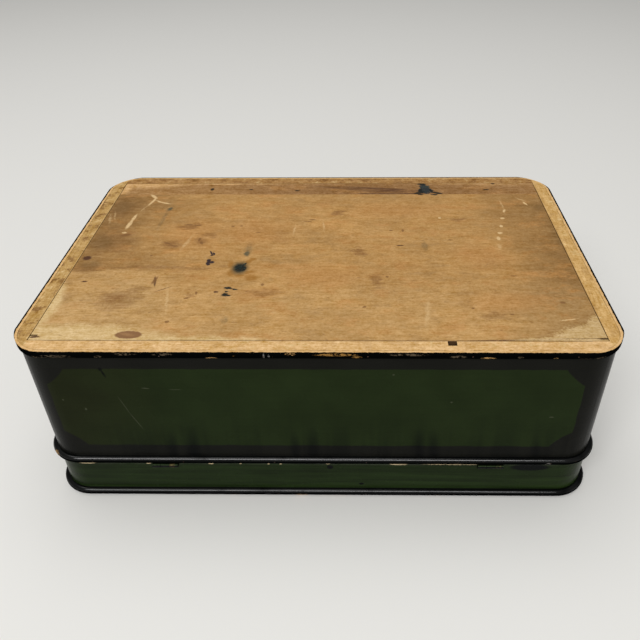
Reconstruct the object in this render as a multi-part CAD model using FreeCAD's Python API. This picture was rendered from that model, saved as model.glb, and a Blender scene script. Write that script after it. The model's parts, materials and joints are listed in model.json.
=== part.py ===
import FreeCAD
import Part
import math
import os

from FreeCAD import Vector

# A low painted box for papers, stored turned over: it stands on its lid, with the bare underside up.
# X runs along the long sides, Z runs up, and the hinged back faces -Y.
# The origin is the middle of the lid's face, on the surface that the box stands on.

# Driving sizes of the whole box, in millimetres, measured over the beads
BOX_WIDE = 400.0
BOX_DEEP = 254.0
BOX_HIGH = 140.0
LID_HIGH = 33.0
CORNER_R = 22.5

# Boards
WALL = 9.6
BOTTOM_THICK = 8.0
LID_BOARD_THICK = 5.5
STRIP_WIDE = 22.0
BOARD_SEAM = 0.3
BOARD_EASE = 0.4
RIM_EASE = 0.6
PARTING_GAP = 0.3

# Half-round bead strips bent round the box, with the place of each joint measured from a bend
BEAD_HIGH = 5.6
BEAD_OUT = 3.7
BEAD_GLUE = 0.05
BEAD_JOINT = 0.3
RIM_BEAD_UP = 2.5
LID_BEAD_UP = 0.4
BASE_BEAD_PLANED = 0.8
BASE_BEAD_WORN = 0.15
BASE_BEAD_WORN_R = 31.0
RIM_JOINT_IN = 39.2
HIDDEN_JOINT_IN = 133.8

# Cut nails, with a flat head and a tapering square shank
NAIL_HEAD = 2.0
NAIL_HEAD_THICK = 0.8
NAIL_SHANK = 1.4
NAIL_TIP = 0.7
NAIL_LONG = 24.0
NAIL_SINK = 0.4
NAIL_FIT = 0.03
CASE_CORNER_NAIL_COUNT = 4
LID_CORNER_NAIL_COUNT = 2
WALL_NAIL_COUNT = 4
END_NAIL_COUNT = 3
CORNER_NAIL_EDGE = 14.0
LID_NAIL_EDGE = 8.0

# Two corner nails that split the underside board and show, and a crack that runs on from the right one
LEFT_SPLIT_IN = 5.3
RIGHT_SPLIT_IN = 2.6
SPLIT_LONG = 5.2
SPLIT_WIDE = 1.6
CRACK_LONG = 24.0
CRACK_WIDE = 0.5
CRACK_DEEP = 2.0

# A small notch in the edge of the back wall, beside the underside board
NOTCH_X = 86.6
NOTCH_WIDE = 5.8
NOTCH_IN = 4.6
NOTCH_DEEP = 3.0

# Brads that pin the beads
BRAD_R = 0.5
BRAD_LONG = 9.0
BRAD_SINK = 0.3
BRAD_FIT = 0.03
WALL_BRAD_COUNT = 6
END_BRAD_COUNT = 4
BRAD_END_IN = 10.0

# Butt hinges let into the two rims at the back, set in from the ends by eye and not quite evenly
LEFT_HINGE_IN = 87.5
RIGHT_HINGE_IN = 78.0
HINGE_WIDE = 18.4
LEAF_DEEP = 7.5
LEAF_THICK = 1.2
LEAF_FIT = 0.15
KNUCKLE_R = 1.6
KNUCKLE_GAP = 0.25
BARREL_CLEAR = 0.3
PIN_R = 0.7
PIN_PLAY = 0.05

# Countersunk hinge screws
SCREW_APART = 10.0
SCREW_IN = 4.2
SCREW_HEAD_R = 1.7
SCREW_HEAD_HIGH = 0.9
SCREW_R = 0.9
SCREW_TIP_R = 0.4
SCREW_LONG = 8.0
SCREW_SLOT = 0.5
SCREW_FIT = 0.03

# Sizes that follow from the driving ones
LEFT_HINGE_X = LEFT_HINGE_IN - BOX_WIDE / 2
RIGHT_HINGE_X = BOX_WIDE / 2 - RIGHT_HINGE_IN
WALL_WIDE = BOX_WIDE - 2 * BEAD_OUT
WALL_DEEP = BOX_DEEP - 2 * BEAD_OUT
HALF_W = WALL_WIDE / 2
HALF_D = WALL_DEEP / 2
INNER_W = HALF_W - WALL
INNER_D = HALF_D - WALL
BEND_X = HALF_W - CORNER_R
BEND_Y = HALF_D - CORNER_R
LID_RIM = LID_HIGH - PARTING_GAP / 2
CASE_RIM = LID_HIGH + PARTING_GAP / 2
BOTTOM_LOW = BOX_HIGH - BOTTOM_THICK
BOTTOM_MID = BOX_HIGH - BOTTOM_THICK / 2
STRIP_LOW = INNER_D - STRIP_WIDE
BASE_BEAD_LOW = BOX_HIGH - BEAD_HIGH + BASE_BEAD_PLANED
RIM_JOINT_X = RIM_JOINT_IN - BEND_X
HIDDEN_JOINT_X = BEND_X - HIDDEN_JOINT_IN
AXIS_OUT = KNUCKLE_R + BARREL_CLEAR
AXIS_Y = -HALF_D - AXIS_OUT
UP = Vector(0, 0, 1)

parts = {}


# Basic shapes
def block(low, high):
    """A box between two opposite corners."""
    size = [h - l for l, h in zip(low, high)]
    return Part.makeBox(*size, Vector(*low))


def rounded_block(z_low, z_high, grow=0.0, corner_r=CORNER_R):
    """The walls' outside between two heights, with its four upright corners rounded, or a larger one."""
    reach_x = HALF_W + grow
    reach_y = HALF_D + grow
    solid = block((-reach_x, -reach_y, z_low), (reach_x, reach_y, z_high))
    uprights = [e for e in solid.Edges if abs(e.tangentAt(e.FirstParameter).z) > 0.9]
    return solid.makeFillet(corner_r, uprights)


def outline_y(x):
    """How far the outside reaches along Y at a place along X."""
    past = max(abs(x) - BEND_X, 0.0)
    return BEND_Y + math.sqrt(CORNER_R**2 - past**2)


def outline_x(y):
    """How far the outside reaches along X at a place along Y."""
    past = max(abs(y) - BEND_Y, 0.0)
    return BEND_X + math.sqrt(CORNER_R**2 - past**2)


def eased(solid, z, ease, picks):
    """Takes the sharpness off the chosen edges that lie at one height."""
    level = [e for e in solid.Edges if abs(e.BoundBox.ZMin - z) < 1e-6 and abs(e.BoundBox.ZMax - z) < 1e-6]
    return solid.makeChamfer(ease, [e for e in level if picks(e.CenterOfMass)])


def outside(point):
    """Whether a point lies beyond the inner faces of the walls."""
    return abs(point.x) > INNER_W + WALL / 2 or abs(point.y) > INNER_D + WALL / 2


def spread(count, span):
    """Places of a row of fasteners, each in the middle of its share of a span about zero."""
    return [span * ((i + 0.5) / count - 0.5) for i in range(count)]


def end_to_end(count, span):
    """Places of a row of fasteners from one end of a span about zero to the other."""
    return [span * (i / (count - 1) - 0.5) for i in range(count)]


def cut_from(nodes, tools):
    """Cuts the tools out of each named piece that they reach."""
    for node in nodes:
        reach = parts[node].BoundBox
        near = [t for t in tools if t.BoundBox.intersect(reach)]
        if near:
            parts[node] = parts[node].cut(near)


# Walls: the ends run the full depth, and the long walls butt between them
def walls(prefix, z_low, z_high, rim):
    frame = rounded_block(z_low, z_high)
    frame = frame.cut(block((-INNER_W, -INNER_D, z_low), (INNER_W, INNER_D, z_high)))
    frame = eased(frame, rim, RIM_EASE, outside)
    pieces = {
        "back_wall": ((-INNER_W, -HALF_D), (INNER_W, -INNER_D)),
        "front_wall": ((-INNER_W, INNER_D), (INNER_W, HALF_D)),
        "left_end": ((-HALF_W, -HALF_D), (-INNER_W, HALF_D)),
        "right_end": ((INNER_W, -HALF_D), (HALF_W, HALF_D)),
    }
    for name, (low, high) in pieces.items():
        parts[f"{prefix}_{name}"] = frame.common(block((*low, z_low), (*high, z_high)))


def wall_names(prefix):
    return [f"{prefix}_{name}" for name in ("back_wall", "front_wall", "left_end", "right_end")]


# Boards: the underside lies between the walls in two pieces, and the lid's board lies over its walls
def boards():
    edge_x = INNER_W - BOARD_SEAM
    edge_y = INNER_D - BOARD_SEAM
    runs = {"bottom_board": (-edge_y, STRIP_LOW), "bottom_strip": (STRIP_LOW + BOARD_SEAM, edge_y)}
    for name, (y_low, y_high) in runs.items():
        board = block((-edge_x, y_low, BOTTOM_LOW), (edge_x, y_high, BOX_HIGH))
        parts[name] = eased(board, BOX_HIGH, BOARD_EASE, lambda point: True)
    parts["lid_top_board"] = rounded_block(0.0, LID_BOARD_THICK)
    notch_low = (NOTCH_X - NOTCH_WIDE / 2, -INNER_D - NOTCH_IN, BOX_HIGH - NOTCH_DEEP)
    notch_high = (NOTCH_X + NOTCH_WIDE / 2, -INNER_D, BOX_HIGH)
    cut_from(["case_back_wall"], [block(notch_low, notch_high)])


# Beads: a half-round section carried along the straight sides and round the corners
def bead_section(z_low, planed):
    """The section as a face on the XZ plane, with X as the distance from a corner's bend centre."""
    round_r = BEAD_HIGH / 2
    flat = CORNER_R + BEAD_OUT - round_r
    inner = CORNER_R + BEAD_GLUE
    z_mid = z_low + round_r
    z_top = z_low + BEAD_HIGH - planed
    top_x = flat + math.sqrt(planed * (BEAD_HIGH - planed))
    top = Vector(top_x, 0, z_top)
    crest = Vector(flat + round_r, 0, z_mid)
    low = Vector(flat, 0, z_low)
    edges = [
        Part.LineSegment(Vector(inner, 0, z_low), low).toShape(),
        Part.Arc(low, crest, top).toShape(),
        Part.LineSegment(top, Vector(inner, 0, z_top)).toShape(),
        Part.LineSegment(Vector(inner, 0, z_top), Vector(inner, 0, z_low)).toShape(),
    ]
    return Part.Face(Part.Wire(edges))


def bead(name, z_low, planed, joint_side, joint_x):
    """One strip bent round the box, with its two ends meeting at a butt joint on a long side."""
    section = bead_section(z_low, planed)
    corners = [(BEND_X, BEND_Y), (-BEND_X, BEND_Y), (-BEND_X, -BEND_Y), (BEND_X, -BEND_Y)]
    lengths = []
    for i, (x, y) in enumerate(corners):
        centre = Vector(x, y, 0)
        following = Vector(*corners[(i + 1) % 4], 0)
        start = section.copy()
        start.rotate(Vector(0, 0, 0), UP, 90 * i)
        start.translate(centre)
        lengths.append(start.revolve(centre, UP, 90))
        finish = start.copy()
        finish.rotate(centre, UP, 90)
        lengths.append(finish.extrude(following - centre))
    strip = lengths[0].multiFuse(lengths[1:]).removeSplitter()
    reach = BOX_DEEP * joint_side
    joint = block(
        (joint_x - BEAD_JOINT / 2, min(0.0, reach), z_low),
        (joint_x + BEAD_JOINT / 2, max(0.0, reach), z_low + BEAD_HIGH),
    )
    parts[name] = strip.cut(joint).Solids[0]


def wear_base_bead():
    """Takes the crest of the base bead down a little, and more round the corners."""
    reach = BEAD_OUT - BASE_BEAD_WORN
    limit = rounded_block(BASE_BEAD_LOW - WALL, BOX_HIGH + WALL, reach, BASE_BEAD_WORN_R)
    parts["base_bead"] = parts["base_bead"].common(limit).Solids[0]


# Fasteners
def nail(grow=0.0):
    """A cut nail along -Z with the top of its head at the origin, or the hole that it fills."""

    def square(side, z):
        half = side / 2 + grow
        turns = [(-half, -half), (half, -half), (half, half), (-half, half), (-half, -half)]
        return Part.makePolygon([Vector(x, y, z) for x, y in turns])

    head = Part.makeLoft([square(NAIL_HEAD, grow), square(NAIL_HEAD, -NAIL_HEAD_THICK - grow)], True, True)
    shank = [square(NAIL_SHANK, -NAIL_HEAD_THICK / 2), square(NAIL_TIP, -NAIL_LONG - grow)]
    return head.fuse(Part.makeLoft(shank, True, True)).removeSplitter()


def brad(grow=0.0):
    """A thin round pin along -Z with its head at the origin, or the hole that it fills."""
    return Part.makeCylinder(BRAD_R + grow, BRAD_LONG + 2 * grow, Vector(0, 0, grow), -UP)


def driven(tool, place, direction):
    """A fastener carried to its place, pointing along a direction."""
    set_in = tool.copy()
    set_in.Placement = FreeCAD.Placement(place, FreeCAD.Rotation(-UP, direction))
    return set_in


def fasten(name, make, fit, places, nodes, mouth):
    """Makes a group of like fasteners and cuts their holes, each opened out to the surface over its head."""
    parts[name] = Part.makeCompound([driven(make(), p, d) for p, d in places])
    holes = []
    for place, direction in places:
        hole = driven(make(fit), place, direction)
        reach = Vector(direction).multiply(-mouth)
        cap = driven(make(fit), place + reach, direction)
        holes.append(hole.fuse(cap) if mouth else hole)
    cut_from(nodes, holes)


def inward(side, axis):
    """The direction from one side of the box towards its middle."""
    return Vector(-side, 0, 0) if axis == "x" else Vector(0, -side, 0)


def corner_nails(prefix, z_low, z_high, count):
    """Nails through the ends of the end walls into the ends of the long walls."""
    seat_y = (INNER_D + outline_y(INNER_W)) / 2
    head_x = outline_x(seat_y + NAIL_HEAD / 2) - NAIL_SINK
    heights = [(z_low + z_high) / 2 + z for z in end_to_end(count, z_high - z_low)]
    places = []
    for side in (-1, 1):
        for y in (-seat_y, seat_y):
            places += [(Vector(side * head_x, y, z), inward(side, "x")) for z in heights]
    fasten(f"{prefix}_corner_nails", nail, NAIL_FIT, places, wall_names(prefix), 0.0)


def crack(x, y):
    """A crack in the underside board that narrows along the grain."""
    z = BOX_HIGH - CRACK_DEEP
    wide = [Vector(x, y - CRACK_WIDE / 2, z), Vector(x, y + CRACK_WIDE / 2, z)]
    outline = Part.makePolygon([*wide, Vector(x - CRACK_LONG, y, z), wide[0]])
    return Part.Face(outline).extrude(Vector(0, 0, CRACK_DEEP))


def bottom_nails():
    """Nails through the walls into the edges of the underside's two boards, under the base bead."""
    deep_x = HALF_W - NAIL_SINK
    deep_y = HALF_D - NAIL_SINK
    board_mid = (STRIP_LOW - INNER_D) / 2
    strip_mid = (STRIP_LOW + INNER_D) / 2
    inner_rows = spread(END_NAIL_COUNT, STRIP_LOW + INNER_D)[1:]
    places = []
    for side, split_in in ((-1, LEFT_SPLIT_IN), (1, RIGHT_SPLIT_IN)):
        rows = [split_in - INNER_D] + [board_mid + y for y in inner_rows] + [strip_mid]
        for y in rows:
            place = Vector(side * min(deep_x, outline_x(abs(y) + NAIL_HEAD / 2) - NAIL_SINK), y, BOTTOM_MID)
            places.append((place, inward(side, "x")))
    for side in (-1, 1):
        for x in spread(WALL_NAIL_COUNT, 2 * BEND_X):
            places.append((Vector(x, side * deep_y, BOTTOM_MID), inward(side, "y")))
    nodes = wall_names("case") + ["bottom_board", "bottom_strip"]
    fasten("bottom_nails", nail, NAIL_FIT, places, nodes, 0.0)
    splits = []
    for side, split_in in ((-1, LEFT_SPLIT_IN), (1, RIGHT_SPLIT_IN)):
        ends = sorted((side * INNER_W, side * (INNER_W - SPLIT_LONG)))
        y = split_in - INNER_D
        low = (ends[0], y - SPLIT_WIDE / 2, BOTTOM_MID)
        splits.append(block(low, (ends[1], y + SPLIT_WIDE / 2, BOX_HIGH)))
    cut_from(["bottom_board"], splits + [crack(INNER_W - SPLIT_LONG, RIGHT_SPLIT_IN - INNER_D)])


def lid_top_nails():
    """Nails through the lid's board into the edges of its four walls."""
    mid_x = HALF_W - WALL / 2
    mid_y = HALF_D - WALL / 2
    places = []
    for side in (-1, 1):
        places += [(Vector(x, side * mid_y, NAIL_SINK), UP) for x in spread(WALL_NAIL_COUNT, 2 * BEND_X)]
        places += [(Vector(side * mid_x, y, NAIL_SINK), UP) for y in spread(END_NAIL_COUNT, 2 * BEND_Y)]
    fasten("lid_top_nails", nail, NAIL_FIT, places, wall_names("lid") + ["lid_top_board"], 0.0)


def bead_brads(bead_name, prefix, z, extra):
    """Brads round one bead, at mid height, into the walls behind it."""
    out_x = HALF_W + BEAD_OUT - BRAD_SINK
    out_y = HALF_D + BEAD_OUT - BRAD_SINK
    places = []
    for side in (-1, 1):
        long_row = end_to_end(WALL_BRAD_COUNT, 2 * (BEND_X - BRAD_END_IN))
        end_row = end_to_end(END_BRAD_COUNT, 2 * (BEND_Y - BRAD_END_IN))
        places += [(Vector(x, side * out_y, z), inward(side, "y")) for x in long_row]
        places += [(Vector(side * out_x, y, z), inward(side, "x")) for y in end_row]
    fasten(f"{bead_name}_brads", brad, BRAD_FIT, places, wall_names(prefix) + [bead_name] + extra, BRAD_SINK)


# Hinges
def barrel(radius, x_mid, wide):
    """A cylinder on the hinge axis."""
    return Part.makeCylinder(radius, wide, Vector(x_mid - wide / 2, AXIS_Y, LID_HIGH), Vector(1, 0, 0))


def screw(grow=0.0):
    """A countersunk wood screw along -Z with its head at the origin, or the hole that it fills."""
    head = Part.makeCone(SCREW_HEAD_R + grow, SCREW_R + grow, SCREW_HEAD_HIGH, Vector(0, 0, 0), -UP)
    body_long = SCREW_LONG - SCREW_HEAD_HIGH + grow
    body_top = Vector(0, 0, -SCREW_HEAD_HIGH)
    body = Part.makeCone(SCREW_R + grow, SCREW_TIP_R + grow, body_long, body_top, -UP)
    whole = head.fuse(body)
    if grow:
        return whole
    half = SCREW_HEAD_R + SCREW_FIT
    slot = block((-half, -SCREW_SLOT / 2, -SCREW_SLOT), (half, SCREW_SLOT / 2, 0))
    return whole.cut(slot)


def hinge_leaf(x_mid, z_face, towards, knuckles, gaps):
    """A leaf let in flush with a rim, with its own knuckles and clear of the other leaf's."""
    z_far = z_face + towards * LEAF_THICK
    low = (x_mid - HINGE_WIDE / 2, AXIS_Y, min(z_face, z_far))
    high = (x_mid + HINGE_WIDE / 2, -HALF_D + LEAF_DEEP, max(z_face, z_far))
    leaf = block(low, high)
    clear = [barrel(AXIS_OUT, x, wide + 2 * KNUCKLE_GAP) for x, wide in gaps]
    own = [barrel(KNUCKLE_R, x, wide) for x, wide in knuckles]
    leaf = leaf.cut(clear).fuse(own)
    return leaf.cut(barrel(PIN_R + PIN_PLAY, x_mid, HINGE_WIDE * 2)).removeSplitter()


def hinge(side_name, x_mid):
    """One butt hinge: two knuckles on the lid's leaf, one on the case's leaf, and the pin."""
    share = HINGE_WIDE / 3
    outer_wide = share - KNUCKLE_GAP / 2
    outer_at = HINGE_WIDE / 2 - outer_wide / 2
    outer = [(x_mid - outer_at, outer_wide), (x_mid + outer_at, outer_wide)]
    middle = [(x_mid, share - KNUCKLE_GAP)]
    parts[f"{side_name}_hinge_lid_leaf"] = hinge_leaf(x_mid, LID_RIM, -1, outer, middle)
    parts[f"{side_name}_hinge_case_leaf"] = hinge_leaf(x_mid, CASE_RIM, 1, middle, outer)
    parts[f"{side_name}_hinge_pin"] = barrel(PIN_R, x_mid, HINGE_WIDE)
    for wall, z_face, towards in (("lid_back_wall", LID_RIM, -1), ("case_back_wall", CASE_RIM, 1)):
        z_far = z_face + towards * LEAF_THICK
        half = HINGE_WIDE / 2 + LEAF_FIT
        low = (x_mid - half, -HALF_D, min(z_face, z_far))
        cut_from([wall], [block(low, (x_mid + half, -HALF_D + LEAF_DEEP + LEAF_FIT, max(z_face, z_far)))])


def hinge_screws(prefix, z_face, direction):
    """Two screws through each leaf into the rim behind it."""
    y = -HALF_D + SCREW_IN
    places = []
    for x_mid in (LEFT_HINGE_X, RIGHT_HINGE_X):
        for x in (x_mid - SCREW_APART / 2, x_mid + SCREW_APART / 2):
            places.append((Vector(x, y, z_face), direction))
    nodes = [f"{prefix}_back_wall", f"left_hinge_{prefix}_leaf", f"right_hinge_{prefix}_leaf"]
    fasten(f"{prefix}_hinge_screws", screw, SCREW_FIT, places, nodes, 0.0)


# The lid
walls("lid", LID_BOARD_THICK, LID_RIM, LID_RIM)
# The case
walls("case", CASE_RIM, BOX_HIGH, CASE_RIM)
boards()

bead("lid_bead", LID_BEAD_UP, 0.0, 1, HIDDEN_JOINT_X)
bead("rim_bead", LID_HIGH + RIM_BEAD_UP, 0.0, -1, RIM_JOINT_X)
bead("base_bead", BASE_BEAD_LOW, BASE_BEAD_PLANED, 1, -HIDDEN_JOINT_X)
wear_base_bead()

hinge("left", LEFT_HINGE_X)
hinge("right", RIGHT_HINGE_X)
hinge_screws("lid", LID_RIM, -UP)
hinge_screws("case", CASE_RIM, UP)

corner_nails("lid", LID_BOARD_THICK + LID_NAIL_EDGE, LID_RIM - LID_NAIL_EDGE, LID_CORNER_NAIL_COUNT)
corner_nails("case", CASE_RIM + CORNER_NAIL_EDGE, BOTTOM_LOW - CORNER_NAIL_EDGE, CASE_CORNER_NAIL_COUNT)
bottom_nails()
lid_top_nails()
bead_brads("lid_bead", "lid", LID_BEAD_UP + BEAD_HIGH / 2, ["lid_top_board"])
bead_brads("rim_bead", "case", LID_HIGH + RIM_BEAD_UP + BEAD_HIGH / 2, [])
bead_brads("base_bead", "case", BASE_BEAD_LOW + BEAD_HIGH / 2, ["bottom_board", "bottom_strip"])

os.makedirs("parts", exist_ok=True)
for node, shape in parts.items():
    shape.exportStep(f"parts/{node}.step")
    print(f"{node}: {len(shape.Solids)} solids, {shape.Volume / 1000:.2f} cm3, valid {shape.isValid()}")
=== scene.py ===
import json
import math

import bpy
from mathutils import Matrix, Vector


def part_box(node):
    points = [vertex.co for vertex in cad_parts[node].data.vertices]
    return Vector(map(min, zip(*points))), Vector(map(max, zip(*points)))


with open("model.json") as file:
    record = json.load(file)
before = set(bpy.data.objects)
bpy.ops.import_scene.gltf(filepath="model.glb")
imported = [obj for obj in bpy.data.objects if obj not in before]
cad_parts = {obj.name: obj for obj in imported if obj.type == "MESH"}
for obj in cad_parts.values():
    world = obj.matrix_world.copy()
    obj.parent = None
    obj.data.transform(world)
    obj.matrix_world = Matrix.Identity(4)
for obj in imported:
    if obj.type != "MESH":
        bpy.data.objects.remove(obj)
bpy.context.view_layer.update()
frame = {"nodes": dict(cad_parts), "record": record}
nodes = frame["nodes"]

# Sizes of the box in millimetres, read from the frame
MM = 0.001
HALF_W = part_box("case_right_end")[1].x / MM
HALF_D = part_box("case_front_wall")[1].y / MM
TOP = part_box("case_right_end")[1].z / MM
LID_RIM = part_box("lid_right_end")[1].z / MM
LID_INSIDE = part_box("lid_top_board")[1].z / MM
BOARD_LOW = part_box("bottom_board")[0].z / MM
RIM_BEAD_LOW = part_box("rim_bead")[0].z / MM
HINGE_MIDS = [(low.x + high.x) / 2 / MM for low, high in map(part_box, ("left_hinge_pin", "right_hinge_pin"))]
HINGE_AXIS = frame["record"]["behaviour"]["joints"][0]["pos_m"][2] / MM

# Sizes that the frame does not give, in millimetres
CORNER_R = 22.5
WALL = 9.6
BEAD_FLAT = 2.9
PAINT_LAP = 1.1

# Surfaces: the relief in millimetres, and roughness
WOOD_RELIEF = 0.1
PAINTED_WALL_RELIEF = 0.1
LID_WALL_RELIEF = 0.03
LID_BOARD_RELIEF = 0.06
BEAD_RELIEF = 0.02
IRON_RELIEF = 0.06
DULL_METAL_RELIEF = 0.03
BARE_ROUGHER = 0.33
BEAD_GLOSS = 0.16
FLOOR_ROUGHNESS = 0.9

# How far the paint lies out from the walls, and how far down the bare face reaches, in millimetres
PAINT_SKIN = (-0.8, -0.3)
BARE_FACE = (-0.3, -0.1)

# The painted panels: a green field with scooped corners inside a black border
PANEL_IN = 19.9
PANEL_LOW = 52.3
PANEL_HIGH = 124.2
LID_PANEL_IN = 30.0
BACK_PANEL_OFF = 1.8
SCOOP = 14.0
SCOOP_DEEP = 1.2
PAINT_EDGE = 0.35

# Colours of the bare wood, linear
TAN_WOOD = (0.462, 0.257, 0.087)
EDGE_PATINA = (0.262, 0.14, 0.045)
GREY_PATINA = (0.37, 0.212, 0.078)
PALE_WOOD = (0.64, 0.45, 0.21)
STRIP_PALE_WOOD = (0.6, 0.355, 0.145)
ROSY_WOOD = (0.46, 0.226, 0.07)
STRIP_WOOD = (0.325, 0.172, 0.063)
BACK_EDGE_WOOD = (0.67, 0.42, 0.182)
RIGHT_EDGE_WOOD = (0.59, 0.36, 0.13)
LEFT_EDGE_WOOD = (0.48, 0.292, 0.102)
FRONT_EDGE_WOOD = (0.38, 0.204, 0.072)
INSIDE_WOOD = (0.42, 0.25, 0.105)
RUBBED_WOOD = (0.66, 0.52, 0.31)
BEAD_WOOD = (0.5, 0.29, 0.11)
AMBER_WOOD = (0.26, 0.135, 0.035)
BROWN_STAIN = (0.2, 0.093, 0.03)
DARK_STREAK = (0.085, 0.034, 0.017)
INK = (0.011, 0.013, 0.0105)
INK_SHEEN = (0.04, 0.062, 0.048)
PURPLE_INK = (0.032, 0.02, 0.022)
TEAL_INK = (0.06, 0.07, 0.045)
BLUE_INK = (0.026, 0.032, 0.033)
RUST_HALO = (0.31, 0.135, 0.02)
RUSTY_STAIN = (0.225, 0.1, 0.03)
OLIVE_STAIN = (0.19, 0.108, 0.038)
CREAM = (0.72, 0.5, 0.25)
KNOT = (0.21, 0.096, 0.04)
KNOT_HEART = (0.29, 0.145, 0.06)
JOINT_BROWN = (0.11, 0.058, 0.025)
TIGHT_JOINT = (0.4, 0.235, 0.09)
PALE_JOINT = (0.66, 0.45, 0.2)
# Near black: dirt, and painted shade in the notch
DEEP_DIRT_AND_SHADE = (0.03, 0.017, 0.008)

# How much the three colours swing as wood gets lighter or darker
FADING = (0.78, 1.05, 1.8)

# Colours of the paint and the metal, linear
BLACK_PAINT = (0.0086, 0.0086, 0.007)
GREEN_PAINT = (0.0138, 0.0222, 0.0066)
BROWN_VARNISH = (0.0125, 0.0135, 0.0045)
LID_GREEN = (0.0118, 0.0218, 0.0054)
BEAD_BLACK = (0.0016, 0.0019, 0.0019)
# Near black, used for tar smears and drips, and also as painted shade, painted shadow and dark painted
# reflection
TAR_AND_SHADE = (0.0012, 0.0017, 0.0024)
PAINT_SCUFF = (0.08, 0.085, 0.055)
GREY_CHIP = (0.19, 0.18, 0.165)
DULL_CHIP = (0.085, 0.065, 0.042)
IRON = (0.06, 0.045, 0.037)
RUST = (0.09, 0.036, 0.015)
BRASS = (0.3, 0.2, 0.08)
STEEL = (0.3, 0.29, 0.27)

# Marks on the underside, seen from above, in millimetres: the place, the half sizes and, for some, the turn
INK_SPOTS = (
    ((-61.4, -28.4), (4.4, 5.6)),
    ((-58.6, -29.6), (2.2, 3.4), -15.0),
    ((-58.6, -23.6), (0.9, 2.4), -35.0),
    ((-66.0, -54.8), (2.9, 1.5), -10.0),
    ((-61.6, -56.2), (3.0, 0.8), -16.0),
    ((-66.4, -59.2), (1.2, 0.8)),
    ((-67.0, -63.0), (2.3, 2.0)),
    ((-64.6, -63.8), (2.2, 1.0), -12.0),
    ((94.6, 90.4), (3.0, 1.2)),
    ((82.6, 90.6), (2.4, 1.0)),
)
PURPLE_INK_SPOTS = (
    ((-86.4, -18.2), (1.6, 2.2)),
    ((-83.8, -20.8), (2.0, 1.8)),
    ((-86.2, -22.8), (1.6, 2.4), 15.0),
    ((-85.6, -20.6), (2.2, 1.4)),
    ((-86.4, -7.4), (0.8, 3.0), 25.0),
    ((-84.2, -8.6), (0.8, 2.2), 20.0),
    ((-85.2, -10.6), (1.4, 0.9)),
)
BROWN_INK = (
    ((-180.4, -14.8), (3.2, 3.0)),
    ((-73.8, -59.6), (1.8, 1.1)),
    ((-183.0, -110.2), (3.4, 0.9), 6.0),
    ((183.0, -111.2), (3.4, 0.8), 2.0),
    ((59.8, 3.6), (2.8, 0.8)),
    ((-172.0, -46.6), (2.4, 0.7)),
)
TEAL_SMEARS = (
    ((-61.4, -28.6), (5.8, 8.0)),
    ((-58.8, -8.6), (2.1, 3.8)),
    ((-134.8, 64.4), (1.7, 3.0), -10.0),
)
FAINT_TEAL = (
    ((-58.4, -2.0), (3.0, 8.0)),
    ((-135.6, 61.6), (2.6, 4.2), -10.0),
    ((-136.6, 46.0), (1.6, 14.0), -3.0),
    ((-62.2, -92.2), (2.2, 3.4)),
    ((79.0, 3.0), (2.2, 6.6)),
)
RUST_LOBES = (
    ((-62.0, -29.0), (6.6, 9.4)),
    ((-68.6, -24.0), (2.6, 5.0), 10.0),
    ((-66.6, -36.0), (3.4, 4.0), 20.0),
    ((-55.4, -19.4), (2.2, 4.4), -35.0),
    ((-53.0, -16.0), (2.6, 2.0)),
    ((-54.0, -34.0), (5.0, 2.0), 10.0),
    ((-51.4, -42.0), (4.4, 3.6)),
    ((-60.4, -38.6), (3.4, 2.0)),
)
BROWN_PATCHES = (
    ((-111.5, 33.0), (8.0, 5.5)),
    ((-121.5, 5.5), (7.0, 5.5), -25.0),
    ((-99.0, 10.0), (5.0, 6.0)),
    ((-142.0, -70.0), (15.0, 12.0)),
    ((-136.0, -60.0), (14.0, 5.0), 20.0),
    ((27.0, -6.0), (5.5, 5.5)),
    ((10.0, 57.0), (5.0, 4.5)),
    ((110.0, 45.5), (4.6, 2.0)),
    ((-120.0, -28.0), (42.0, 2.4)),
    ((40.0, -46.0), (5.0, 8.0), 20.0),
    ((-168.0, 10.0), (15.0, 18.0)),
    ((-176.0, 66.0), (11.0, 16.0)),
    ((-40.0, -61.0), (12.0, 3.4)),
    ((-176.0, -30.0), (8.0, 7.0)),
    ((120.0, -88.0), (8.0, 4.0)),
    ((-92.0, 20.0), (5.0, 3.0)),
)
RUSTY_STAINS = (
    ((-111.0, 33.0), (6.5, 3.6)),
    ((-106.0, 38.0), (4.0, 2.0), 15.0),
    ((-122.0, 5.0), (5.5, 3.0), -30.0),
    ((-118.0, 10.0), (4.0, 1.6), 20.0),
    ((-98.0, 9.0), (3.2, 4.6)),
    ((-143.0, -68.0), (7.0, 4.0), 15.0),
    ((27.0, -6.0), (4.4, 4.2)),
    ((10.5, 57.0), (4.2, 3.6)),
    ((40.0, -45.0), (3.6, 6.0), 25.0),
    ((110.0, 45.5), (4.2, 1.8)),
    ((-92.0, -64.0), (4.0, 2.4)),
)
OLIVE_STAINS = (
    ((-178.0, 68.0), (11.0, 11.0)),
    ((-178.0, 8.0), (9.0, 12.0)),
    ((-174.0, -24.0), (7.0, 6.0)),
    ((187.0, 10.0), (4.0, 20.0)),
    ((180.0, 68.0), (7.0, 5.0)),
)
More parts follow.
